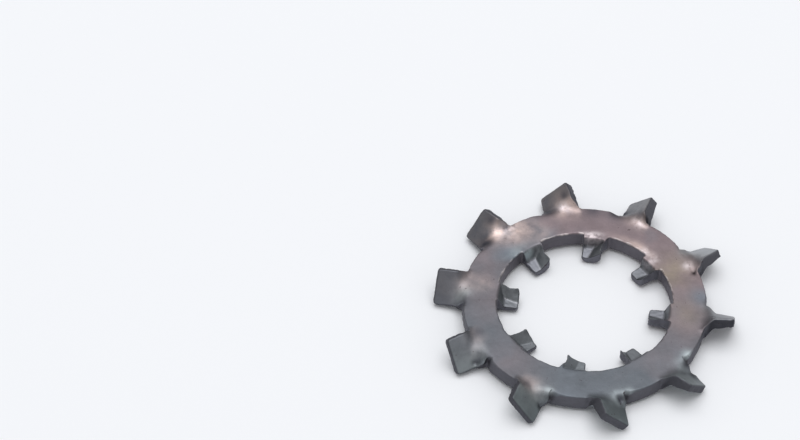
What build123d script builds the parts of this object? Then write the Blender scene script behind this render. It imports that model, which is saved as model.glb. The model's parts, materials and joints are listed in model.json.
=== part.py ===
"""Internal and external tooth lock washer, stamped from one strip of spring steel.

The washer lies flat as it comes to rest: +Z is up, the axis of the hole is the Z axis, and
Z = 0 is the surface that its lowest tooth edges stand on. Millimetres throughout.
A flat ring carries ten wide teeth outside and eight short ones inside. Every outer tooth is
twisted about its own length, so that its clockwise edge stands up and the other digs down.
Every inner tooth is pressed down from the ring, with a flat seat on one half and a ramp that
climbs to a sharp corner on the other.
"""
from build123d import *
import os

# Ring
ring_inner_diameter = 18.3
ring_width = 3.5
ring_thickness = 1.8
ring_edge_cut = 0.22          # the punch draws the upper edges down; the lower ones stay sharp

# Outer teeth
outer_tooth_count = 10
outer_first_angle = 27.0      # direction of the first tooth, degrees from +X
outer_tooth_length = 2.99     # from the ring's edge to the tip
outer_root_width = 3.78
outer_tip_width = 3.76
outer_root_flare = 0.36       # extra width where the tooth leaves the ring
outer_tip_thickness = 0.88    # the twist also draws the metal thinner
outer_neck_thickness = 1.08   # just past the bend
outer_neck_twist = 41.0       # degrees, reached just past the bend
outer_tip_twist = 46.0
outer_bend_start = 0.45       # how far inside the ring's edge the twist begins
outer_bend_end = 0.95         # how far outside the ring's edge the sharp bend ends
outer_lift = 0.44             # height of the twisted tooth's middle above the ring's middle
outer_drift = 0.15            # the tip leans this far towards its low edge
outer_edge_cut = 0.16         # broken edges along the tooth
outer_corner_cut = 0.3        # cut corners and edges round the tip

# Inner teeth
inner_tooth_count = 8
inner_first_angle = 37.0
inner_tooth_length = 2.25     # from the ring's inner edge to the tip
inner_tooth_width = 1.96
inner_riser_run = 0.7         # the sloping wall between the ring and the seat
inner_seat_drop = 0.46        # the seat lies this far below the ring's middle
inner_crease_offset = 0.06    # the crease between seat and ramp, from the tooth's middle
inner_peak_height = 0.38      # the ramp's top corner above the ring's middle
inner_belly_drop = 1.35       # the underside's lowest line below the ring's middle
inner_belly_width = 0.95
inner_flank_drop = 0.98       # where the underside's chamfers start

# How far each tooth's hidden end reaches into the ring, and stays inside its faces
root_depth = 1.3
root_cover = 0.12

bend_steps = 4                # straight spans that the twist's bend is made of

ring_inner_radius = ring_inner_diameter / 2
ring_outer_radius = ring_inner_radius + ring_width


def smooth_step(start, end, value):
    """0 before start, 1 after end, and a smooth rise between them."""
    share = min(max((value - start) / (end - start), 0.0), 1.0)
    return share * share * (3 - 2 * share)


def blend(first, last, share):
    return first + (last - first) * share


def make_ring():
    """The flat ring: a rectangle with its two upper corners cut, turned about the axis."""
    section = Rectangle(ring_width, ring_thickness)
    upper_corners = section.vertices().group_by(Axis.Y)[-1]
    section = chamfer(upper_corners, ring_edge_cut)
    middle = ring_inner_radius + ring_width / 2
    return revolve(Plane.XZ * Pos(middle, 0) * section, Axis.Z)


def radial_plane(distance):
    """A plane square to +X, with its own x along +Y and its own y along +Z."""
    return Plane(origin=(distance, 0, 0), x_dir=(0, 1, 0), z_dir=(1, 0, 0))


def outer_tooth_section(offset, corner=0.0, edge=0.0):
    """Cross-section of an outer tooth at a distance from the ring's edge.

    The tip's section is narrower by corner on each side and thinner by edge on each face.
    """
    bend = smooth_step(-outer_bend_start, outer_bend_end, offset)
    tail = smooth_step(outer_bend_end, outer_tooth_length, offset)
    twist = outer_neck_twist * bend + (outer_tip_twist - outer_neck_twist) * tail
    root_thickness = ring_thickness - 2 * root_cover
    thickness = blend(blend(root_thickness, outer_neck_thickness, bend), outer_tip_thickness, tail)
    taper = max(offset, 0.0) / outer_tooth_length
    flare = outer_root_flare * (1 - smooth_step(-outer_bend_start, outer_bend_end, offset))
    width = blend(outer_root_width, outer_tip_width, taper) + flare
    outline = Rectangle(width - 2 * corner, thickness - 2 * edge)
    outline = chamfer(outline.vertices(), outer_edge_cut)
    place = Pos(outer_drift * tail, outer_lift * bend) * Rot(0, 0, -twist)
    return radial_plane(ring_outer_radius + offset) * place * outline


def make_outer_tooth():
    """Ruled loft from inside the ring, over the bend and out to the cut corners of the tip."""
    bend_length = outer_bend_start + outer_bend_end
    bend = [-outer_bend_start + bend_length * step / bend_steps for step in range(bend_steps + 1)]
    offsets = [-root_depth, *bend, outer_tooth_length - outer_corner_cut]
    sections = [outer_tooth_section(offset) for offset in offsets]
    tip = outer_tooth_section(outer_tooth_length, outer_corner_cut, outer_edge_cut)
    return loft([*sections, tip], ruled=True)


def inner_tooth_section(distance, seat, peak, flank, belly):
    """Cross-section of an inner tooth: flat seat, rising ramp, and a chamfered underside."""
    half = inner_tooth_width / 2
    belly_half = inner_belly_width / 2
    outline = Polyline(
        (half, seat),
        (inner_crease_offset, seat),
        (-half, peak),
        (-half, -flank),
        (-belly_half, -belly),
        (belly_half, -belly),
        (half, -flank),
        close=True,
    )
    return radial_plane(distance) * make_face(outline)


def make_inner_tooth():
    """Ruled loft from the tip, along the seat and up the riser into the ring."""
    tip = ring_inner_radius - inner_tooth_length
    foot = ring_inner_radius - inner_riser_run
    hidden = ring_inner_radius + ring_edge_cut
    cover = ring_thickness / 2 - root_cover
    sections = [
        inner_tooth_section(tip, -inner_seat_drop, inner_peak_height, inner_flank_drop, inner_belly_drop),
        inner_tooth_section(foot, -inner_seat_drop, inner_peak_height, inner_flank_drop, inner_belly_drop),
        inner_tooth_section(hidden, cover - root_cover, cover, cover - root_cover, cover),
    ]
    return loft(sections, ruled=True)


def make_washer():
    """Ring and all its teeth in one solid, standing on its lowest edges."""
    outer_teeth = PolarLocations(0, outer_tooth_count, start_angle=outer_first_angle) * make_outer_tooth()
    inner_teeth = PolarLocations(0, inner_tooth_count, start_angle=inner_first_angle) * make_inner_tooth()
    whole = make_ring().fuse(*outer_teeth, *inner_teeth)
    return Pos(0, 0, -whole.bounding_box().min.Z) * whole


washer = make_washer()
os.makedirs("parts", exist_ok=True)
export_step(washer, "parts/tooth_lock_washer.step")
print("solids", len(washer.solids()), "valid", washer.is_valid, "volume", round(washer.volume, 2))
print("box", washer.bounding_box())
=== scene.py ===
import bpy
import json
import math
import numpy as np
from mathutils import Matrix, Vector


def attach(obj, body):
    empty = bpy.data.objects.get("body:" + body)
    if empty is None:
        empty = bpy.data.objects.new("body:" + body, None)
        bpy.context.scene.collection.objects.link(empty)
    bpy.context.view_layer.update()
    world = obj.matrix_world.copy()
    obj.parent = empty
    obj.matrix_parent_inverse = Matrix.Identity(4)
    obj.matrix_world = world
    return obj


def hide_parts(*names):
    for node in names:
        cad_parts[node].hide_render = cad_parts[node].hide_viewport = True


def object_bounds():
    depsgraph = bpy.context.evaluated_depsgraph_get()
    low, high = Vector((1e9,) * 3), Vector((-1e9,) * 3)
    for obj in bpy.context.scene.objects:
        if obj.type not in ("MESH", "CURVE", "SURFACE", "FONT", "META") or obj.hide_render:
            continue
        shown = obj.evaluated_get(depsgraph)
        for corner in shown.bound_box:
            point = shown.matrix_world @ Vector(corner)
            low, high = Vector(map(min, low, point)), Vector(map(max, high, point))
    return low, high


# An internal-external tooth lock washer of tempered spring steel, lying on a white table. Its
# skin is one grid: columns run round the washer, and stations run round its section. The flat
# blank is laid out first, then its inner teeth are pressed down and its outer ones twisted.
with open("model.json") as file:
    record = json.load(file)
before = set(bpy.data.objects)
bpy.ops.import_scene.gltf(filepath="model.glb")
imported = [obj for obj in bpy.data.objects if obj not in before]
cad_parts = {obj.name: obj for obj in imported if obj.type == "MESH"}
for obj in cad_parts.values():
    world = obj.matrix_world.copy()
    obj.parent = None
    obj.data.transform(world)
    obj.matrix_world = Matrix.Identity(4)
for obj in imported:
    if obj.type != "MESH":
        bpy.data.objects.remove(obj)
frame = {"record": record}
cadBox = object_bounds()

mm = 0.001


def smoothStep(start, end, value):
    # s * s * (3 - 2 * s), where s runs from 0 at start to 1 at end and stays there
    share = np.clip((value - start) / (end - start), 0, 1)
    return share * share * (3 - 2 * share)


def mix(first, second, share):
    # first where share is 0, second where it is 1, and a straight line between them
    return first + (second - first) * share


def softMax(first, second, rounding):
    # the larger of two heights: half their sum and half the root of gap * gap + rounding *
    # rounding, which rounds the crease where they meet
    gap = first - second
    return 0.5 * (first + second + np.sqrt(gap * gap + rounding * rounding))


def softMin(first, second, rounding):
    # the smaller of two heights, which is softMax upside down
    return -softMax(-first, -second, rounding)


def bump(value, centre, width):
    # a bell: e to the minus square of the distance from the centre, counted in widths
    return np.exp(-((value - centre) / width) ** 2)


def onCircle(radius, angle):
    # radius times the cosine and the sine of the angle
    return np.stack([radius * np.cos(angle), radius * np.sin(angle)], axis=-1)


def turned(points, angle):
    # plan points turned about the axis: x cos - y sin, x sin + y cos
    c, s = np.cos(angle), np.sin(angle)
    x, y = points[..., 0], points[..., 1]
    return np.stack([x * c - y * s, x * s + y * c], axis=-1)


def withDepth(plan, depth):
    # plan points with a third coordinate
    return np.concatenate([plan, depth[..., None]], axis=-1)


def nearPlace(plan, direction, radius, size):
    # a bell round one place, given by its direction in degrees and its distance from the axis
    centre = onCircle(radius, math.radians(direction))
    return bump(np.linalg.norm(plan - centre, axis=-1), 0, size)


# another seed gives other ripples, dents or clouds
seeds = dict(holeRoll=11, tear=21, fineTear=22, warp=31, dents=41, largeClouds=51, smallClouds=52)


def waves(points, size, name, count=24):
    # smooth noise, mostly within -1 and 1: the sum of plane waves in random directions, each
    # about as long as size, over the root of twice their count
    rng = np.random.default_rng(seeds[name])
    direction = rng.normal(size=(count, 3))
    direction /= np.linalg.norm(direction, axis=1)[:, None]
    length = size * rng.uniform(0.7, 1.5, count)
    phase = rng.uniform(0, 2 * math.pi, count)
    angle = points @ (direction * (2 * math.pi / length)[:, None]).T + phase
    return np.sin(angle).sum(axis=-1) / math.sqrt(2 * count)


# The blank, in millimetres, with heights from the middle of the sheet. The two faces that the
# washer is clamped by are the ring's, and give its thickness and its height above the table.
faceHeight = {mount["name"]: mount["pos_m"][2] / mm for mount in frame["record"]["mounts"]}
ring = dict(
    outerRadius=12.65,
    innerRadius=9.15,
    middle=(faceHeight["top_face"] + faceHeight["under_face"]) / 2,
    halfThickness=(faceHeight["top_face"] - faceHeight["under_face"]) / 2,
    outerRoll=0.08,           # rounding of the upper edges
    holeRoll=0.18,
    holeRollChange=0.3,       # how much it varies, as a share, and over what length
    holeRollLength=1.1,
    burrRoll=0.06,            # the lower edges stay sharp
    droopLength=1.1,          # the droop beside a tooth's low side dies away over this
    droopStart=0.25,
    tear=0.03,                # height and length of the torn wall's ripples
    tearLength=0.5,
    fineTear=0.02,
    fineTearLength=0.22,
    fineTearStart=(0.2, 0.5),  # as shares of the wall, where the fine ones start and are full
    rollChange=(-0.02, 0.25),  # between these distances past the ring's edge, its rounding
                               # becomes the tooth's
    warp=0.018,               # height and length of the whole sheet's waviness
    warpLength=4.0,
    outerGate=11.9,           # circles that the grid's columns pass through
    holeGate=9.7,
)
thickness = 2 * ring["halfThickness"]

# Every array holds one value for each tooth, counter-clockwise from the first. "clock" is a
# tooth's clockwise side and "other" its other one.
outerTeeth = dict(
    count=10,
    first=27.0,               # degrees from +X, counter-clockwise from above
    side=1,                   # outwards
    radius=ring["outerRadius"],
    reach=np.array([2.88, 2.98, 2.95, 2.97, 2.91, 2.9, 2.97, 2.93, 2.95, 2.9]),
    clockHalf=np.array([1.77, 1.50, 1.88, 1.88, 1.85, 1.87, 1.75, 1.82, 1.86, 1.88]),
    otherHalf=np.array([1.88, 1.98, 1.86, 1.85, 1.95, 1.92, 1.92, 1.84, 1.78, 1.78]),
    clockRoot=np.array([1.65, 1.45, 1.7, 1.8, 1.76, 1.84, 1.6, 1.72, 1.86, 1.7]),
    otherRoot=np.array([1.64, 1.62, 2.0, 2.1, 1.95, 2.0, 1.88, 1.68, 1.6, 1.6]),
    slant=np.array([0.0, -0.03, 0.06, 0.1, 0.06, 0.03, 0.04, 0.0, 0.01, 0.03]),
    clockNick=np.array([0.25, 0.4, 0.1, 0.3, 0.15, 0.3, 0.15, 0.12, 0.1, 0.1]),
    otherNick=np.array([0.25, 0.35, 0.15, 0.15, 0.15, 0.35, 0.2, 0.45, 0.3, 0.35]),
    clockFlare=np.full(10, 0.12),
    otherFlare=np.full(10, 0.12),
    flareEnd=0.35,            # as a share of the tooth's length
    corner=0.46,              # radius of the corners in plan
    roll=0.19,                # rounding of the upper edges
    # how much rounder the ring's edge is where the tooth's low side pulls it down
    droop=np.array([0.25, 0.12, 0.35, 0.35, 0.3, 0.4, 0.45, 0.5, 0.5, 0.12]),
)

innerTeeth = dict(
    count=8,
    first=37.0,
    side=-1,                  # towards the hole
    radius=ring["innerRadius"],
    reach=np.array([2.2, 2.2, 2.35, 2.3, 2.3, 2.25, 2.25, 2.42]),
    clockHalf=np.full(8, 0.98),
    otherHalf=np.array([0.94, 1.04, 1.04, 0.94, 0.94, 0.94, 0.94, 1.04]),
    clockRoot=np.full(8, 0.98),
    otherRoot=np.full(8, 0.98),
    slant=np.zeros(8),
    clockNick=np.zeros(8),
    otherNick=np.zeros(8),
    clockFlare=np.array([0.34, 0.55, 0.34, 0.2, 0.12, 0.55, 0.25, 0.34]),
    otherFlare=np.full(8, 0.05),
    flareEnd=0.6,
    corner=0.38,
    roll=0.11,
    droop=np.zeros(8),
)
toothSides = ((-1, "clock"), (1, "other"))
nickWidth = 0.22

# How finely everything is divided
grid = dict(
    columns=1040,             # round the washer
    band=8,                   # stations on the ring's upper face, between the gates
    outerFan=18,              # on the upper face between a gate and the edge
    holeFan=16,
    roll=4,                   # on the rounded upper edge, the wall and the lower edge
    wall=6,
    burr=3,
    lowBand=4,                # on the underside
    lowFan=9,
    outlineSteps=200,         # along each arc and each side of the outline
    outlinePoints=24000,      # round the outline while its corners are rounded
    cornerReach=200,          # of those, how many the rounding looks at each way
    cornerDeviation=0.55,     # of the rounding's bell, as a share of the corner's radius
    gateReach=4,              # columns that the gate angles are averaged over, each way
    gateMargin=0.05,          # how far beside a tooth's root the arc starts, in millimetres
)
columns = grid["columns"]


def evenlySpaced(line, count, shift=0.0):
    # points at equal lengths along a closed line, the first one shift steps along it
    closed = np.concatenate([line, line[:1]])
    length = np.concatenate([[0], np.cumsum(np.linalg.norm(np.diff(closed, axis=0), axis=1))])
    wanted = np.mod((np.arange(count) + shift) / count, 1) * length[-1]
    return np.stack([np.interp(wanted, length, closed[:, axis]) for axis in (0, 1)], axis=1)


def outwards(line, side):
    # unit normals in plan, pointing out of the metal: the chord between a point's neighbours,
    # turned by a quarter
    along = np.roll(line, -1, axis=0) - np.roll(line, 1, axis=0)
    along /= np.linalg.norm(along, axis=1)[:, None]
    return side * np.stack([along[:, 1], -along[:, 0]], axis=1)


def nearTooth(points, teeth):
    # Distance along and across the nearest tooth, its number and its direction. The number is
    # the azimuth past the first tooth over the pitch, rounded, and the point turned back by the
    # tooth's direction has the two distances as its x and y.
    pitch = 360 / teeth["count"]
    azimuth = np.degrees(np.arctan2(points[..., 1], points[..., 0]))
    number = np.round((azimuth - teeth["first"]) / pitch).astype(int)
    angle = np.radians(teeth["first"] + pitch * number)
    local = turned(points, -angle)
    return local[..., 0], local[..., 1], number % teeth["count"], angle


def sideValue(teeth, part, across, number):
    # a tooth's value for the side that a point lies on
    return np.where(across < 0, teeth["clock" + part][number], teeth["other" + part][number])


def roundedCorners(line, corner):
    # every point of a closed line becomes the mean of its neighbours, weighted by a bell:
    # e to the minus half square of the distance along the line, counted in deviations
    spacing = np.linalg.norm(line[1] - line[0])
    reach = grid["cornerReach"]
    deviation = grid["cornerDeviation"] * corner
    weight = np.exp(-0.5 * (np.arange(-reach, reach + 1) * spacing / deviation) ** 2)
    weight /= weight.sum()
    wrapped = np.concatenate([line[-reach:], line, line[:reach]])
    return np.stack([np.convolve(wrapped[:, axis], weight, "valid") for axis in (0, 1)], axis=1)


def toothedLine(teeth):
    # Closed outline of one edge of the blank: for each tooth an arc of the ring, a side, the
    # tip, the other side and another arc. Its corners are rounded, and then it moves inwards by
    # the depth of a nick times a bell round each corner of a root.
    pitch = 2 * math.pi / teeth["count"]
    radius = teeth["radius"]
    steps = np.linspace(0, 1, grid["outlineSteps"], endpoint=False)
    fade = 1 - smoothStep(0, teeth["flareEnd"], steps)
    sectors = []
    for number in range(teeth["count"]):
        sides = []
        for sign, name in toothSides:
            root, half, flare = [teeth[name + part][number] for part in ("Root", "Half", "Flare")]
            rootAngle = math.asin((root + flare) / radius)
            arc = onCircle(radius, sign * mix(pitch / 2, rootAngle, steps))
            tip = radius + teeth["side"] * (teeth["reach"][number] + sign * teeth["slant"][number])
            along = mix(radius * math.cos(rootAngle), tip, steps)
            side = np.stack([along, sign * (mix(root, half, steps) + flare * fade)], axis=1)
            sides.append(np.concatenate([arc, side, [[tip, sign * half]]]))
        tipEdge = mix(sides[0][-1], sides[1][-1], steps[1:, None])
        sector = np.concatenate([sides[0], tipEdge, sides[1][::-1]])
        sectors.append(turned(sector, math.radians(teeth["first"]) + pitch * number))
    line = evenlySpaced(np.concatenate(sectors), grid["outlinePoints"])
    line = roundedCorners(line, teeth["corner"])
    along, across, number = nearTooth(line, teeth)[:3]
    for sign, name in toothSides:
        root = teeth[name + "Root"][number] + teeth[name + "Flare"][number]
        rootAlong = np.sqrt(radius ** 2 - root ** 2)
        nick = bump(along, rootAlong, nickWidth) * bump(across, sign * root, nickWidth)
        line = line - outwards(line, teeth["side"]) * (nick * teeth[name + "Nick"][number])[:, None]
    start = teeth["first"] - 180 / teeth["count"]
    return evenlySpaced(line, columns, -start / 360 * columns)


def gateAngles(line, teeth):
    # Where the columns pass the gate circle: in line with the outline's points on the arcs,
    # evenly spread over the root of each tooth, and averaged over a few columns
    along, across, number = nearTooth(line, teeth)[:3]
    root = sideValue(teeth, "Root", across, number) + sideValue(teeth, "Flare", across, number)
    onArc = np.abs(across) > root + grid["gateMargin"]
    turn = np.unwrap(np.arctan2(line[:, 1], line[:, 0]))
    place = np.arange(columns)
    places = np.concatenate([place[onArc] + shift * columns for shift in (-1, 0, 1)])
    turns = np.concatenate([turn[onArc] + 2 * math.pi * shift for shift in (-1, 0, 1)])
    reach = grid["gateReach"]
    even = np.interp(np.arange(-reach, columns + reach), places, turns)
    return np.convolve(even, np.ones(2 * reach + 1) / (2 * reach + 1), "valid")


outerLine = toothedLine(outerTeeth)
holeLine = toothedLine(innerTeeth)
outerNormal = outwards(outerLine, 1)
holeNormal = outwards(holeLine, -1)
outerGate = gateAngles(outerLine, outerTeeth)
holeGate = gateAngles(holeLine, innerTeeth)
holeGate += 2 * math.pi * np.round((outerGate - holeGate).mean() / (2 * math.pi))
print("outlines done")


# The skin of the blank: a closed loop of stations round the section, for every column. A
# station is a place in plan, how far the upper edge's rounding lowers it, how far the lower
# edge's raises it, and wall, which is 0 on the upper face, 1 on the lower one and between them
# on the wall.

def rollRadius(line, teeth, base):
    # On the ring: base plus the droop beside a tooth's low side, which dies away with e to the
    # minus distance over the droop's length. On a tooth: the tooth's own rounding.
    along, across, number = nearTooth(line, teeth)[:3]
    pitch = 2 * math.pi / teeth["count"] * teeth["radius"]
    before = np.where(across < 0, number - 1, number) % teeth["count"]
    past = np.mod(across - teeth["otherRoot"][before], pitch)
    fade = np.exp(-past / ring["droopLength"]) * smoothStep(0, ring["droopStart"], past)
    proud = teeth["side"] * (np.hypot(across, along) - teeth["radius"])
    onTooth = smoothStep(*ring["rollChange"], proud)
    return mix(base + teeth["droop"][before] * fade, teeth["roll"], onTooth)


def bandStations(count):
    # points on the straight lines between the two gates, in radius and in angle
    share = np.linspace(0, 1, count, endpoint=False)[None, :]
    radius = mix(ring["holeGate"], ring["outerGate"], share)
    return onCircle(radius, mix(holeGate[:, None], outerGate[:, None], share))


def fanStations(gateRadius, gate, line, normal, inset, count):
    # points on the straight lines from a gate to the outline, which is drawn in by the inset
    share = np.linspace(0, 1, count, endpoint=False)[None, :, None]
    start = onCircle(gateRadius, gate)[:, None, :]
    end = (line - normal * inset[:, None])[:, None, :]
    return mix(start, end, share)


def edgeStations(line, normal, upper):
    # Quarter circle, wall, quarter circle, from the upper face to the lower one. On a quarter
    # circle of radius r, the point at angle a lies r (1 - sin a) inside the outline and
    # r (1 - cos a) away from the face. The wall is rippled by waves along the outline.
    lower = ring["burrRoll"]
    rollSteps, wallSteps, burrSteps = grid["roll"], grid["wall"], grid["burr"]
    onRoll = np.linspace(0, math.pi / 2, rollSteps, endpoint=False)
    onBurr = np.linspace(math.pi / 2, 0, burrSteps + 1)[1:]
    every = np.ones((columns, 1))
    inset = np.concatenate([upper[:, None] * (1 - np.sin(onRoll)),
                            np.zeros((columns, wallSteps)),
                            lower * every * (1 - np.sin(onBurr))], axis=1)
    wall = np.concatenate([np.zeros(rollSteps), np.linspace(0, 1, wallSteps), np.ones(burrSteps)])
    wall = np.repeat(wall[None, :], columns, axis=0)
    place = line[:, None, :] - normal[:, None, :] * inset[:, :, None]
    depth = withDepth(place, wall * thickness)
    torn = ring["tear"] * waves(depth, ring["tearLength"], "tear")
    fine = waves(depth, ring["fineTearLength"], "fineTear")
    torn += ring["fineTear"] * fine * smoothStep(*ring["fineTearStart"], wall)
    edgeShare = np.concatenate([np.sin(onRoll), np.ones(wallSteps), np.sin(onBurr)])
    place = place + normal[:, None, :] * (torn * edgeShare)[:, :, None]
    topDrop = np.concatenate([upper[:, None] * (1 - np.cos(onRoll)),
                              np.repeat(upper[:, None], wallSteps + burrSteps, axis=1)], axis=1)
    lowDrop = np.concatenate([np.full((columns, rollSteps + wallSteps), lower),
                              lower * every * (1 - np.cos(onBurr))], axis=1)
    return place, topDrop, lowDrop, wall


def faceStations(place, wall):
    # stations of a flat face: nothing is lowered or raised
    shape = place.shape[:2]
    return place, np.zeros(shape), np.zeros(shape), np.full(shape, float(wall))


outerRoll = rollRadius(outerLine, outerTeeth, ring["outerRoll"])
holeRoll = rollRadius(holeLine, innerTeeth, ring["holeRoll"])
holeWaves = waves(withDepth(holeLine, np.zeros(columns)), ring["holeRollLength"], "holeRoll")
holeRoll = holeRoll * (1 + ring["holeRollChange"] * holeWaves)
burrInset = np.full(columns, ring["burrRoll"])
outerSide = (ring["outerGate"], outerGate, outerLine, outerNormal)
holeSide = (ring["holeGate"], holeGate, holeLine, holeNormal)
outerGateCircle = onCircle(ring["outerGate"], outerGate)[:, None]
lowBand = np.concatenate([bandStations(grid["lowBand"]), outerGateCircle], axis=1)
loop = [
    faceStations(bandStations(grid["band"]), 0),
    faceStations(fanStations(*outerSide, outerRoll, grid["outerFan"]), 0),
    edgeStations(outerLine, outerNormal, outerRoll),
    faceStations(fanStations(*outerSide, burrInset, grid["lowFan"])[:, :0:-1], 1),
    faceStations(lowBand[:, :0:-1], 1),
    faceStations(fanStations(*holeSide, burrInset, grid["lowFan"]), 1),
    [part[:, ::-1] for part in edgeStations(holeLine, holeNormal, holeRoll)],
    faceStations(fanStations(*holeSide, holeRoll, grid["holeFan"])[:, :0:-1], 0),
]
plan, topDrop, lowDrop, wall = [np.concatenate(parts, axis=1) for parts in zip(*loop)]
print("stations round the section:", plan.shape[1])


# Pressing the inner teeth: a riser falls from the ring to a flat seat, and a ramp climbs from
# a slanting crease to the clockwise side. The underside is a shallow belly.
pressed = dict(
    # distances from the axis where the riser starts to fall and where it ends
    riserTop=np.array([8.6, 8.55, 8.9, 9.0, 9.05, 9.05, 9.0, 8.85]),
    riserFoot=np.array([8.3, 8.3, 8.36, 8.36, 8.36, 8.36, 8.36, 8.36]),
    riserRound=0.14,          # rounding above and below the riser
    footRound=0.06,
    root=8.35,                # distances from the axis of the seat's two ends
    tip=6.92,
    seat=-0.36,               # height at the root
    seatFall=0.10,            # per millimetre towards the tip
    # where the crease runs, from the tooth's middle
    creaseRoot=np.array([-0.5, -0.12, -0.12, -0.1, -0.1, -0.05, -0.4, -0.3]),
    creaseTip=np.array([-0.1, 0.42, 0.3, 0.3, 0.35, 0.3, -0.1, 0.15]),
    creaseReach=(-0.2, 1.2),  # it runs on past the tip and the root by a fifth of their distance
    creaseRound=0.05,
    peakRoot=0.56,            # height of the ramp's clockwise edge
    peakTip=0.38,
    rampEdge=0.98,            # how far that edge is from the tooth's middle
    # height of the burr at the ramp's corner, its place along and across, and its radius
    burr=np.array([0.0, 0.05, 0.1, 0.25, 0.2, 0.2, 0.25, 0.0]),
    burrAlong=7.0,
    burrAcross=-0.95,
    burrLength=0.28,
    burrWidth=0.26,
    belly=-1.32,              # lowest line of the underside
    bellyCurve=0.48,
    bellyLean=0.10,
    tipRise=0.06,             # the underside comes up towards the tip, between these distances
    tipRiseAlong=(7.8, 6.8),
    underside=(9.25, 8.5),    # between these it changes from the ring's to the tooth's
    dent=0.012,               # height and length of the dents that the press left
    dentLength=0.4,
    dentStart=(0.1, 0.5),     # they start and are full this far below the ring's face
    side=(0.98, 1.5),         # beside a tooth the press fades between these distances
    reachAside=1.6,           # nothing is pressed further to the side
    reachOut=9.6,             # or further from the axis
)


def pressInner(along, across, number):
    # Heights of the upper and lower faces of an inner tooth, and where its seat and crease are.
    # The riser falls in a straight line with the distance from the axis, the seat does so with
    # the distance along the tooth, and the ramp climbs in one from the crease to its edge. The
    # upper face is the highest of the three, and no higher than the ring's face. The lower face
    # is belly + bellyCurve * across * across - bellyLean * across.
    half = ring["halfThickness"]
    edge = np.hypot(along, across)
    riserTop = pressed["riserTop"][number]
    riserLength = riserTop - pressed["riserFoot"][number]
    riser = half - (half - pressed["seat"]) * (riserTop - edge) / riserLength
    seat = pressed["seat"] - pressed["seatFall"] * (pressed["root"] - along)
    share = (along - pressed["tip"]) / (pressed["root"] - pressed["tip"])
    share = np.clip(share, *pressed["creaseReach"])
    crease = mix(pressed["creaseTip"][number], pressed["creaseRoot"][number], share)
    peak = mix(pressed["peakTip"], pressed["peakRoot"], share)
    ramp = seat + (peak - seat) / (crease + pressed["rampEdge"]) * (crease - across)
    burr = bump(along, pressed["burrAlong"], pressed["burrLength"])
    burr = burr * bump(across, pressed["burrAcross"], pressed["burrWidth"])
    ramp = ramp + pressed["burr"][number] * burr
    top = softMax(seat, ramp, pressed["creaseRound"])
    top = softMax(top, riser, pressed["footRound"])
    top = softMin(top, half, pressed["riserRound"])
    top = np.where(edge < pressed["reachOut"], top, half)
    belly = pressed["belly"] + pressed["bellyCurve"] * across ** 2 - pressed["bellyLean"] * across
    belly = belly + pressed["tipRise"] * smoothStep(*pressed["tipRiseAlong"], along)
    low = mix(-half, belly, smoothStep(*pressed["underside"], edge))
    # the seat is where ramp and riser lie below it, and the crease where the ramp crosses it
    onSeat = smoothStep(0.06, -0.02, ramp - seat) * smoothStep(0.06, -0.02, riser - seat)
    onCrease = bump(ramp - seat, 0.02, 0.06) * smoothStep(0.1, -0.05, riser - seat)
    return top, low, onSeat, onCrease


half = ring["halfThickness"]
along, across, innerNumber = nearTooth(plan, innerTeeth)[:3]
planRadius = np.hypot(along, across)
onInner = (planRadius < pressed["reachOut"]) & (np.abs(across) < pressed["reachAside"])
pressedTop, pressedLow, onSeat, onCrease = pressInner(along, across, innerNumber)
pressDents = pressed["dent"] * waves(withDepth(plan, wall), pressed["dentLength"], "dents")
pressedTop += pressDents * smoothStep(*pressed["dentStart"], half - pressedTop)
leftOfTooth = smoothStep(-0.4, 0.4, across)   # 0 clockwise of a tooth's middle, 1 past it
nearRoot = 1 - smoothStep(*pressed["side"], np.abs(across))
upper = np.where(onInner, mix(half, pressedTop, nearRoot), half)
lower = np.where(onInner, mix(-half, pressedLow, nearRoot), -half)
print("inner teeth pressed")

# Twisting the outer teeth: a sharp bend at the root, then a little more towards the tip. The
# bend also pulls at the ring beside the tooth.
twisted = dict(
    turn=np.array([38, 41, 39, 41.5, 43, 40, 40.5, 40, 40, 42.0]),
    tipTwist=5.0,             # degrees more
    bendStart=11.5,           # distances from the axis
    bendEnd=np.array([13.8, 13.35, 13.6, 13.7, 13.6, 13.7, 13.6, 13.75, 13.9, 13.7]),
    tip=15.5,
    bendPower=2.1,            # the bend starts softly and ends sharply
    neckHalfThickness=np.array([0.58, 0.68, 0.54, 0.56, 0.53, 0.52, 0.47, 0.6, 0.6, 0.54]),
    tipHalfThickness=np.array([0.42, 0.5, 0.44, 0.45, 0.45, 0.4, 0.36, 0.46, 0.45, 0.44]),
    lift=np.array([0.38, 0.38, 0.42, 0.38, 0.33, 0.3, 0.4, 0.4, 0.3, 0.42]),
    drift=np.array([0.18, 0.16, 0.17, 0.05, 0.05, 0.08, 0.17, 0.15, 0.12, 0.18]),
    pullStart=0.1,            # the pull fades from here beside the tooth, over these lengths
    clockPull=0.35,
    otherPull=1.3,
    innerEnd=11.0,            # nothing is twisted nearer to the axis
    # worn flat this far above the table, and this far under the top of the part's box, with
    # this much rounding
    aboveTable=0.02,
    tableRound=0.03,
    underHead=0.016,
    headRound=0.02,
)
# Single hollows and lumps of the upper face, before the twist: direction in degrees, distance
# from the axis, radius and depth
dents = [
    (-146.8, 13.4, 0.34, 0.2),
    (-144.3, 12.9, 0.3, -0.12),
    (-110.0, 13.6, 0.34, 0.22),
    (-108.5, 13.0, 0.3, -0.12),
    (-38.5, 13.4, 0.3, 0.2),
    (-40.0, 14.2, 0.35, -0.15),
    (71.5, 13.7, 0.35, -0.2),
    (19.0, 12.2, 0.3, 0.12),
    (-76.0, 12.9, 0.3, 0.2),
]

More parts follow.
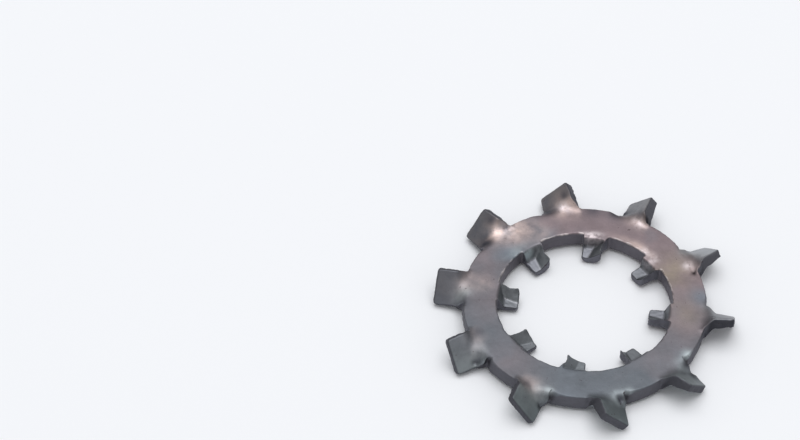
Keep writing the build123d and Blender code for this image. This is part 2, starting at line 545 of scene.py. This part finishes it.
along, across, outerNumber, outerAngle = nearTooth(plan, outerTeeth)
turn, bendEnd, neckHalf, tipHalf, lift, drift = [twisted[name][outerNumber] for name in
    ("turn", "bendEnd", "neckHalfThickness", "tipHalfThickness", "lift", "drift")]
bend = smoothStep(twisted["bendStart"], bendEnd, along) ** twisted["bendPower"]
tail = smoothStep(bendEnd, twisted["tip"], along)
pastRoot = np.abs(across) - sideValue(outerTeeth, "Root", across, outerNumber)
pull = np.where(across < 0, twisted["clockPull"], twisted["otherPull"])
lateral = 1 - smoothStep(0, 1, (pastRoot - twisted["pullStart"]) / pull)
toothHalf = mix(half, mix(mix(half, neckHalf, bend), tipHalf, tail), lateral)
isOuter = planRadius > twisted["innerEnd"]
upper = np.where(isOuter, toothHalf, upper)
lower = np.where(isOuter, -toothHalf, lower)
for direction, radius, size, depth in dents:
    upper = upper - depth * nearPlace(plan, direction, radius, size)
height = (1 - wall) * (upper - topDrop) + wall * (lower + lowDrop)
# a tooth's section turned about its own length, lifted and pushed sideways
angle = np.radians(turn * bend + twisted["tipTwist"] * tail) * lateral
newAcross = drift * tail + across * np.cos(angle) + height * np.sin(angle)
newHeight = lift * bend * lateral - across * np.sin(angle) + height * np.cos(angle)
newAcross = np.where(isOuter, newAcross, across)
newHeight = np.where(isOuter, newHeight, height)
newPlan = turned(np.stack([along, newAcross], axis=-1), outerAngle)
warp = ring["warp"] * waves(withDepth(plan, wall * thickness), ring["warpLength"], "warp")
newHeight = newHeight + ring["middle"] + warp
ceiling = cadBox[1][2] / mm - twisted["underHead"]
newHeight = softMax(newHeight, twisted["aboveTable"], twisted["tableRound"])
newHeight = softMin(newHeight, ceiling, twisted["headRound"])
points = withDepth(newPlan, newHeight)
print("outer teeth twisted, lowest and highest:", newHeight.min(), newHeight.max())


def makeMesh(name, points, masks):
    # A grid that closes on itself both ways, with masks for the material on its points. Each
    # quad joins the same two stations of two neighbouring columns.
    rows, stations = points.shape[:2]
    number = np.arange(rows * stations).reshape(rows, stations)
    nextRow = np.roll(number, -1, axis=0)
    corners = [number, nextRow, np.roll(nextRow, -1, axis=1), np.roll(number, -1, axis=1)]
    quads = np.stack(corners, axis=-1)
    mesh = bpy.data.meshes.new(name)
    mesh.vertices.add(rows * stations)
    mesh.vertices.foreach_set("co", (points.reshape(-1, 3) * mm).astype(np.float32).ravel())
    mesh.loops.add(quads.size)
    mesh.loops.foreach_set("vertex_index", quads.astype(np.int32).ravel())
    mesh.polygons.add(quads.size // 4)
    mesh.polygons.foreach_set("loop_start", np.arange(0, quads.size, 4, dtype=np.int32))
    mesh.polygons.foreach_set("use_smooth", np.ones(quads.size // 4, dtype=bool))
    mesh.update(calc_edges=True)
    mesh.validate()
    for mask, values in masks.items():
        attribute = mesh.attributes.new(mask, "FLOAT", "POINT")
        attribute.data.foreach_set("value", values.astype(np.float32).ravel())
    piece = bpy.data.objects.new(name, mesh)
    bpy.context.scene.collection.objects.link(piece)
    return piece


# Masks that tell the material where each look is, from 0 to 1 on every point. Their places are
# those of the flat blank, before the twist. First, how strong a look is on each tooth.
marks = dict(
    # painted highlights at the bends
    paintedHighlight=np.array([0.2, 0.7, 1.0, 0.8, 0.3, 0.25, 0.4, 0.0, 0.0, 0.0]),
    # pale painted highlights
    paleHighlight=np.array([0.6, 0.1, 0.0, 0.0, 0.8, 0.3, 0.4, 0.9, 0.9, 0.3]),
    # copper tint at the roots, lightened as a painted highlight
    heat=np.array([0.6, 0.8, 0.8, 0.9, 0.9, 0.8, 0.7, 0.0, 0.2, 0.3]),
    # painted light on flat faces
    litFacet=np.array([0.9, 0.4, 0.0, 0.0, 0.0, 0.2, 0.0, 0.0, 0.2, 0.5]),
    # painted shade on the walls
    outerWallShade=np.array([0.2, 0.0, 0.3, 0.3, 0.5, 0.5, 0.5, 0.5, 0.6, 1.0]),
    # painted shade along the rounded edges
    edge=np.array([1.0, 1.0, 1.0, 1.0, 1.0, 1.0, 1.0, 1.0, 0.8, 0.0]),
    seat=np.array([0.6, 0.95, 0.95, 0.45, 0.15, 0.0, 0.2, 0.85]),
    # painted highlight along the creases
    crease=np.array([0.3, 1.0, 0.9, 0.9, 0.0, 0.0, 0.4, 0.3]),
    rampPale=np.array([0.3, 0.1, 0.1, 0.1, 0.1, 0.5, 0.2, 0.3]),
    riserDark=np.array([0.5, 1.0, 0.0, 0.0, 0.0, 0.0, 0.0, 0.3]),
    riserPale=np.array([0.0, 0.0, 1.0, 0.0, 0.0, 0.0, 0.0, 0.0]),
)
# Bells at the root of every outer tooth: mask, centre and width along the tooth, and across it
rootLooks = [
    # copper tint and broad painted highlight
    ("heat", 11.8, 2.0, 0.0, 2.4),
    # painted highlight
    ("paintedHighlight", 12.5, 1.0, -0.6, 1.6),
    # pale painted highlight beside the low side
    ("paleHighlight", 12.6, 0.8, 1.0, 0.9),
]
# Strips of painted highlight along the hole's edge: mask, distance from the axis, width, direction and
# spread in degrees, strength
holeStrips = [
    ("paintedHighlight", 9.55, 0.45, 52, 13, 0.7),
    ("paleHighlight", 9.4, 0.6, 138, 9, 0.8),
]
# Single patches of tint, painted highlight, painted shade and painted shadow: mask, direction in
# degrees, distance from the axis, radius, strength
patches = [
    ("straw", 25, 9.9, 2.2, 1.0),
    ("straw", -8, 10.5, 2.0, 0.5),
    # copper tint, lightened as painted highlight
    ("heat", 119, 10.8, 2.2, 0.9),
    ("heat", 90, 11.0, 2.0, 0.6),
    ("heat", 168, 10.8, 1.8, 0.9),
    ("warmTintAndLight", -135, 10.9, 3.0, 0.4),
    # painted highlights
    ("paintedHighlight", 97, 13.4, 1.0, 0.8),
    ("paintedHighlight", 137, 12.9, 1.2, 0.4),
    ("paintedHighlight", 130, 12.0, 1.3, 1.0),
    ("paintedHighlight", 122, 11.5, 1.2, 0.8),
    ("paintedHighlight", 116, 10.3, 1.0, 0.4),
    ("paintedHighlight", 168, 10.7, 1.0, 0.35),
    # pale painted highlights
    ("paleHighlight", 62.5, 13.6, 0.5, 0.7),
    ("paleHighlight", -34, 12.5, 0.6, 1.0),
    ("paleHighlight", -71, 12.5, 0.5, 1.0),
    ("paleHighlight", -109, 12.4, 0.5, 0.8),
    ("paleHighlight", -144.5, 12.9, 0.35, 0.8),
    ("glint", 97.5, 12.9, 0.7, 0.8),
    ("glint", 131, 12.3, 1.3, 0.45),
    ("glint", 60, 12.2, 0.6, 0.7),
    ("glint", 46, 9.3, 0.5, 0.7),
    ("glint", 38, 9.2, 0.6, 0.7),
    ("glint", 24, 11.9, 0.5, 0.7),
    ("blueing", 3, 12.2, 1.2, 0.8),
    ("blueing", 140, 9.8, 1.2, 0.8),
    # painted shade beside the roots and in hollows
    ("paintedShade", 73, 12.5, 1.0, 0.8),
    ("paintedShade", 84, 12.5, 1.0, 0.7),
    ("paintedShade", 69.5, 13.6, 0.5, 0.9),
    ("paintedShade", 95, 14.1, 0.7, 0.8),
    ("paintedShade", 105.5, 12.9, 0.9, 1.0),
    ("paintedShade", 130, 14.1, 0.7, 0.8),
    ("paintedShade", 141.5, 12.9, 0.9, 1.0),
    ("paintedShade", -179, 12.7, 0.5, 0.6),
    ("paintedShade", -159, 11.8, 0.6, 0.6),
    ("paintedShade", -143, 12.7, 0.4, 0.8),
    ("paintedShade", -146.8, 13.4, 0.35, 0.8),
    ("paintedShade", -120, 12.6, 0.6, 0.6),
    ("paintedShade", -110, 13.6, 0.35, 0.7),
    ("paintedShade", -76, 12.9, 0.5, 0.9),
    ("paintedShade", -39, 12.9, 0.5, 0.8),
    ("paintedShade", -40.5, 14.2, 0.6, 0.6),
    # painted shadow in the slits at the roots
    ("slitShadow", 18.7, 12.2, 0.24, 1.0),
    ("slitShadow", 55.6, 12.8, 0.4, 1.0),
    ("slitShadow", -37, 12.8, 0.35, 1.0),
    ("slitShadow", -72.5, 12.9, 0.35, 1.0),
    ("slitShadow", -107.5, 12.75, 0.3, 0.8),
    ("slitShadow", -143, 12.75, 0.3, 0.8),
]
# Distances from the axis that tell one part of the washer from another
zones = dict(
    insideRing=9.9,           # the ring and the outer teeth lie outside this
    between=10.8,             # a middle circle: the hole's edges inside, the outer ones outside
    outerTooth=(12.9, 13.3),  # a look starts and is full past the ring's outer edge
    innerTooth=(8.9, 8.7),    # and past its inner one
    innerToothWall=(9.05, 8.8),
    holeWall=(8.9, 9.05),
    holeRim=(9.05, 9.14),
    back=(-3, 4),             # along Y, towards the back
    front=(-4, -9),           # and towards the front
)

blankX, blankY = plan[..., 0], plan[..., 1]
azimuth = np.degrees(np.arctan2(blankY, blankX))
onTop = (wall < 0.5).astype(float)
outside = (planRadius > zones["insideRing"]) * onTop
onHoleSide = planRadius < zones["between"]
onOuterTooth = smoothStep(*zones["outerTooth"], planRadius)
onInnerTooth = smoothStep(*zones["innerTooth"], planRadius)
# 0 where an edge's rounding starts on the face and 1 where it ends on the wall
rollOut = topDrop / np.where(onHoleSide, holeRoll[:, None], outerRoll[:, None])
rollIn = lowDrop / ring["burrRoll"]
onRoll = (rollOut > 0.001) * onTop
sheared = smoothStep(0.35, 0.95, rollOut) * smoothStep(0.1, 0.9, rollIn)
pressedPart = np.where(onInner, smoothStep(0.03, 0.25, half - upper), 0) * nearRoot * onTop
# the back right is the warmest, and painted light makes it the lightest too, with clouds of two sizes
flat = withDepth(plan, np.zeros(plan.shape[:2]))
clouds = 0.12 * waves(flat, 7.0, "largeClouds") + 0.1 * waves(flat, 2.5, "smallClouds")
warmTintAndLight = np.clip(0.5 + 0.024 * blankX + 0.055 * blankY + clouds, 0, 1)
masks = dict(
    warmTintAndLight=warmTintAndLight,
    # walls: all of them, and those of the inner teeth, of the outer ones, darkened as painted shade,
    # and of the ring's hole
    sheared=sheared,
    toothWall=sheared * onHoleSide * smoothStep(*zones["innerToothWall"], planRadius),
    outerWallShade=sheared * onOuterTooth * marks["outerWallShade"][outerNumber],
    hole=(sheared * smoothStep(0.7, 1.0, rollOut) * onHoleSide
          * smoothStep(*zones["holeWall"], planRadius)),
    # the outer teeth, the warmer ones (a warm tint, made lighter at the back as painted light), those
    # in front, and painted light on the flat faces of single ones
    tooth=bend * lateral,
    warmLitTooth=bend * lateral * warmTintAndLight,
    coolTooth=bend * lateral * smoothStep(*zones["front"], blankY),
    litFacet=(marks["litFacet"][outerNumber] * bend * lateral * outside
           * smoothStep(*zones["outerTooth"], along)),
    # rounded edges: a painted highlight round the back of the hole, a line of painted shade along the
    # teeth
    rimHighlight=(bump(rollOut, 0.3, 0.45) * onRoll * onHoleSide
         * smoothStep(*zones["holeRim"], planRadius) * smoothStep(*zones["back"], blankY)),
    edge=(bump(rollOut, 0.6, 0.5) * onRoll
          * np.maximum(onOuterTooth * marks["edge"][outerNumber], onInnerTooth)),
    # the inner teeth's ramps, risers and seats, and a painted highlight along their creases
    ramp=pressedPart,
    rampPale=pressedPart * marks["rampPale"][innerNumber],
    riserPale=(pressedPart * marks["riserPale"][innerNumber] * leftOfTooth
               * smoothStep(8.4, 8.6, planRadius)),
    riserDark=(pressedPart * marks["riserDark"][innerNumber]
               * smoothStep(8.3, 8.38, planRadius)),
    seat=pressedPart * marks["seat"][innerNumber] * onSeat,
    crease=pressedPart * marks["crease"][innerNumber] * onCrease,
    # a long glint on the hole's edge, above the rearmost inner tooth
    glint=bump(blankX, 1.05, 1.0) * bump(blankY, 8.95, 0.42) * onTop,
)
for name, alongCentre, alongWidth, acrossCentre, acrossWidth in rootLooks:
    bell = bump(along, alongCentre, alongWidth) * bump(across, acrossCentre, acrossWidth)
    masks[name] = marks[name][outerNumber] * bell * outside
masks["paintedHighlight"] *= lateral
for name, radius, width, direction, spread, strength in holeStrips:
    masks[name] += strength * bump(planRadius, radius, width) * bump(azimuth, direction, spread) * onTop
for name in ("straw", "paintedShade", "slitShadow", "blueing"):
    masks[name] = np.zeros(plan.shape[:2])
for name, direction, radius, size, strength in patches:
    masks[name] = masks[name] + strength * nearPlace(plan, direction, radius, size) * onTop
# the stations are taken the other way round, so that the faces point outwards
outwardMasks = {name: values[:, ::-1] for name, values in masks.items()}
washer = makeMesh("toothLockWasher", points[:, ::-1], outwardMasks)
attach(washer, "root")
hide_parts("tooth_lock_washer")
print("washer:", len(washer.data.polygons), "quads")


def linear(colour):
    # sRGB hex to linear: v / 12.92 for the darkest values, ((v + 0.055) / 1.055) ** 2.4 above
    values = [int(colour[at:at + 2], 16) / 255 for at in (1, 3, 5)]
    return [v / 12.92 if v <= 0.04045 else ((v + 0.055) / 1.055) ** 2.4 for v in values] + [1.0]


def addNode(tree, kind, links=None, **settings):
    # a node with its settings, values by socket name in links as numbers or as other sockets
    node = tree.nodes.new(kind)
    for key, value in settings.items():
        setattr(node, key, value)
    for key, value in (links or {}).items():
        socket = node.inputs[key]
        if isinstance(value, bpy.types.NodeSocket):
            tree.links.new(value, socket)
        else:
            socket.default_value = value
    return node


# Tempered spring steel: a dark satin oxide that turns from purplish brown at the back to a blue-green
# grey in front. The back is also made lighter as painted light, and round the teeth's roots lie a
# copper tint with painted highlights, painted shade and painted shadow
steelLook = dict(
    cool="#6d7279",
    # the warm tint of the back, made lighter there as painted light
    warmAndLit="#8b7e82",
    ochre="#958a80",          # the temper colour runs from blue-grey to straw
    blue="#7c838c",
    blueing="#747f8a",
    tooth="#74777f",          # the twisted faces are a plain grey
    # the warm tint on the back teeth, made lighter as painted light
    toothWarmLit="#7f7a79",
    toothCool="#7f878a",
    # a copper tint round the roots, lightened and widened into a broad painted highlight
    heat="#a59593",
    # pale painted highlights
    paleHighlight="#a9b2b6",
    # painted light on flat tooth faces that face the lamp
    litFacet="#b2b5ba",
    # painted highlights where the teeth bend, copper-tinted
    paintedHighlightColour="#d8c3bc",
    ramp="#6f7377",
    rampPale="#979da3",
    riserPale="#b3bfc4",
    riserDark="#555358",
    seat="#8f9199",
    # a painted highlight along the crease
    crease="#b4b5bb",
    glint="#e6dcdf",
    # a painted highlight along the hole's rounded edge
    rimHighlight="#dcd5d4",
    edge="#3c3c42",           # painted shade: the dark line by which the eye reads the tooth's rounded edge
    sheared="#6c6c73",        # torn by the punch, so darker and rougher
    toothWall="#797982",
    # painted shade on the outer teeth's walls
    outerWallShade="#4b4c53",
    hole="#76737a",
    # painted shade
    paintedShade="#4d4e57",
    # painted shadow in the slits at the roots
    slitShadow="#2b2729",
    spot="#4a3f42",
    satin=(0.46, 0.56),       # roughness of the smoother and of the duller clouds
    tornRoughness=0.15,       # added on the walls
    # less roughness under the painted highlights
    highlightRoughness=-0.06,
    cloudShade=(0.78, 1.12),  # brightness of the mottle's darkest and lightest clouds
    fineShade=(-0.07, 0.07),
    pitDepth=2.0,             # of the pits, where the grain's is 1
    reliefStrength=0.35,
    reliefDepth=0.03,         # in millimetres
)

# Every pattern's size in millimetres and its detail. The oxide's real grain is a tenth of this
# one, which is as fine as the render can show.
patterns = dict(
    broad=(8.0, 3),
    patch=(3.0, 4),
    mottle=(1.9, 5),
    fine=(0.35, 3),
    grain=(0.12, 2),
    pits=(0.6, 4),
)

# Each layer covers the ones before it: its colour, its mask, the pattern that breaks it up, the
# pattern's values where it starts and where it is full, and its strength. From -1 to 0 is
# everywhere alike.
layers = [
    ("warmAndLit", "warmTintAndLight", "broad", -1, 0, 1),
    ("ochre", "straw", "patch", 0.25, 0.55, 1),
    ("blue", "everywhere", "broad", 0.52, 0.64, 0.5),
    ("blueing", "blueing", "broad", -1, 0, 0.9),
    ("heat", "heat", "patch", 0.3, 0.6, 1),
    ("tooth", "tooth", "broad", -1, 0, 0.85),
    ("toothWarmLit", "warmLitTooth", "mottle", 0.25, 0.6, 0.8),
    ("toothCool", "coolTooth", "mottle", 0.1, 0.5, 1),
    ("paleHighlight", "paleHighlight", "mottle", 0.3, 0.6, 1),
    ("litFacet", "litFacet", "mottle", 0.1, 0.5, 1),
    ("paintedHighlightColour", "paintedHighlight", "mottle", 0.28, 0.58, 1),
    ("ramp", "ramp", "broad", -1, 0, 0.9),
    ("rampPale", "rampPale", "broad", -1, 0, 1),
    ("riserPale", "riserPale", "broad", -1, 0, 1),
    ("riserDark", "riserDark", "broad", -1, 0, 1),
    ("seat", "seat", "mottle", 0.0, 0.4, 1),
    ("crease", "crease", "mottle", 0.2, 0.5, 0.7),
    ("rimHighlight", "rimHighlight", "pits", 0.4, 0.6, 0.7),
    ("glint", "glint", "pits", 0.35, 0.55, 1),
    ("edge", "edge", "mottle", 0.0, 0.4, 1),
    ("sheared", "sheared", "broad", -1, 0, 1),
    ("toothWall", "toothWall", "pits", 0.2, 0.6, 1),
    ("outerWallShade", "outerWallShade", "mottle", 0.0, 0.4, 1),
    ("hole", "hole", "broad", -1, 0, 1),
    ("paintedShade", "paintedShade", "mottle", 0.0, 0.3, 1),
    ("slitShadow", "slitShadow", "pits", 0.1, 0.4, 1),
    ("spot", "everywhere", "fine", 0.66, 0.74, 0.7),
]
steel = bpy.data.materials.new("temperedSpringSteel")
steel.use_nodes = True
tree = steel.node_tree
tree.nodes.clear()
objectPlace = addNode(tree, "ShaderNodeTexCoord").outputs["Object"]
mask = {"everywhere": 1.0}
for name in masks:
    mask[name] = addNode(tree, "ShaderNodeAttribute", attribute_name=name).outputs["Fac"]
# each pattern is its own slice of a noise in four dimensions
pattern = {}
for layer, (name, (size, detail)) in enumerate(patterns.items()):
    noise = addNode(tree, "ShaderNodeTexNoise", {
        "Vector": objectPlace, "W": float(layer), "Scale": 1 / (size * mm), "Detail": detail,
    }, noise_dimensions="4D")
    pattern[name] = noise.outputs["Fac"]

# colour = each layer's colour over the last, by its mask times its pattern
colour = linear(steelLook["cool"])
amounts = {}
for name, maskName, patternName, start, full, strength in layers:
    share = addNode(tree, "ShaderNodeMapRange", {
        "Value": pattern[patternName], "From Min": start, "From Max": full, "To Max": strength,
    })
    amount = addNode(tree, "ShaderNodeMath", {
        0: share.outputs[0], 1: mask[maskName],
    }, operation="MULTIPLY", use_clamp=True)
    amounts[name] = amount.outputs[0]
    over = addNode(tree, "ShaderNodeMix", {
        0: amounts[name], 6: colour, 7: linear(steelLook[name]),
    }, data_type="RGBA")
    colour = over.outputs[2]
# brightness = a large variation + a small one
large = addNode(tree, "ShaderNodeMapRange", {
    "Value": pattern["mottle"], "From Min": 0.25, "From Max": 0.75,
    "To Min": steelLook["cloudShade"][0], "To Max": steelLook["cloudShade"][1],
})
small = addNode(tree, "ShaderNodeMapRange", {
    "Value": pattern["fine"], "From Min": 0.2, "From Max": 0.8,
    "To Min": steelLook["fineShade"][0], "To Max": steelLook["fineShade"][1],
})
shade = addNode(tree, "ShaderNodeMath", {
    0: large.outputs[0], 1: small.outputs[0],
}, operation="ADD")
shaded = addNode(tree, "ShaderNodeVectorMath", {
    0: colour, "Scale": shade.outputs[0],
}, operation="SCALE")
# roughness = satin + more on the torn walls + less under the painted highlights
satin = addNode(tree, "ShaderNodeMapRange", {
    "Value": pattern["mottle"], "From Min": 0.3, "From Max": 0.7,
    "To Min": steelLook["satin"][0], "To Max": steelLook["satin"][1],
})
rougher = addNode(tree, "ShaderNodeMath", {
    0: amounts["sheared"], 1: steelLook["tornRoughness"], 2: satin.outputs[0],
}, operation="MULTIPLY_ADD")
rough = addNode(tree, "ShaderNodeMath", {
    0: amounts["paintedHighlightColour"], 1: steelLook["highlightRoughness"], 2: rougher.outputs[0],
}, operation="MULTIPLY_ADD")
# relief = pits + grain
relief = addNode(tree, "ShaderNodeMath", {
    0: pattern["pits"], 1: steelLook["pitDepth"], 2: pattern["grain"],
}, operation="MULTIPLY_ADD")
bumps = addNode(tree, "ShaderNodeBump", {
    "Height": relief.outputs[0], "Strength": steelLook["reliefStrength"],
    "Distance": steelLook["reliefDepth"] * mm,
})
shader = addNode(tree, "ShaderNodeBsdfPrincipled", {
    "Base Color": shaded.outputs[0], "Metallic": 1.0, "Roughness": rough.outputs[0],
    "Normal": bumps.outputs[0],
})
addNode(tree, "ShaderNodeOutputMaterial", {"Surface": shader.outputs[0]})
washer.data.materials.append(steel)
print("steel:", len(tree.nodes), "nodes")

# The table: matt white paper, with a trace of blue
tableTop = dict(half=3.0, colour="#f3f5f9", roughness=0.9)
paper = bpy.data.materials.new("whitePaper")
paper.use_nodes = True
paperSockets = paper.node_tree.nodes["Principled BSDF"].inputs
paperSockets["Base Color"].default_value = linear(tableTop["colour"])
paperSockets["Roughness"].default_value = tableTop["roughness"]
tableMesh = bpy.data.meshes.new("table")
tableCorners = [(x * tableTop["half"], y * tableTop["half"], 0)
                for x, y in ((-1, -1), (1, -1), (1, 1), (-1, 1))]
tableMesh.from_pydata(tableCorners, [], [(0, 1, 2, 3)])
tableMesh.materials.append(paper)
table = bpy.data.objects.new("table", tableMesh)
bpy.context.scene.collection.objects.link(table)
print("table laid")

# Light: an even white room and one square soft box, almost straight above
light = dict(room=0.55, size=0.8, place=(0.0, 0.1, 0.8), power=4.0)
world = bpy.data.worlds.new("studio")
world.use_nodes = True
worldSockets = world.node_tree.nodes["Background"].inputs
worldSockets["Color"].default_value = (1, 1, 1, 1)
worldSockets["Strength"].default_value = light["room"]
bpy.context.scene.world = world
lamp = bpy.data.lights.new("softBox", "AREA")
lamp.shape = "SQUARE"
lamp.size = light["size"]
lamp.energy = light["power"]
softBox = bpy.data.objects.new("softBox", lamp)
softBox.location = light["place"]
softBox.rotation_euler = Vector(light["place"]).to_track_quat("Z", "Y").to_euler()
bpy.context.scene.collection.objects.link(softBox)
print("light placed")

# The camera stands where the photograph's did: 49 degrees up, and the washer right of centre.
# Lengths and places in the picture are in pixels of its 800 by 440, and angles in degrees.
view = dict(
    width=800,
    height=440,
    focal=3200,
    pitch=49.25,
    roll=0.5,
    centre=(584.2, 306.3),    # where the ring's middle is seen
    outerRadius=122.1,        # how large the ring's outer radius is seen
    filmWidth=36,             # in millimetres
)
pitch, roll = math.radians(view["pitch"]), math.radians(view["roll"])
right = Vector((1, 0, 0))
down = Vector((0, -math.sin(pitch), -math.cos(pitch)))
ahead = Vector((0, math.cos(pitch), -math.sin(pitch)))
rolledRight = right * math.cos(roll) - down * math.sin(roll)
rolledDown = right * math.sin(roll) + down * math.cos(roll)
distance = view["focal"] / view["outerRadius"] * ring["outerRadius"] * mm
sideways = (view["centre"][0] - view["width"] / 2) / view["focal"]
downwards = (view["centre"][1] - view["height"] / 2) / view["focal"]
toWasher = (rolledRight * sideways + rolledDown * downwards + ahead) * distance
cameraPlace = Vector((0, 0, ring["middle"] * mm)) - toWasher
lens = bpy.data.cameras.new("camera")
lens.sensor_width = view["filmWidth"]
lens.lens = view["filmWidth"] * view["focal"] / view["width"]
lens.clip_start = 0.01
lens.clip_end = 10
camera = bpy.data.objects.new("camera", lens)
facing = Matrix((rolledRight, -rolledDown, -ahead)).transposed().to_4x4()
camera.matrix_world = Matrix.Translation(cameraPlace) @ facing
bpy.context.scene.collection.objects.link(camera)
bpy.context.scene.camera = camera
bpy.context.scene.view_settings.view_transform = "Standard"
print("camera placed")
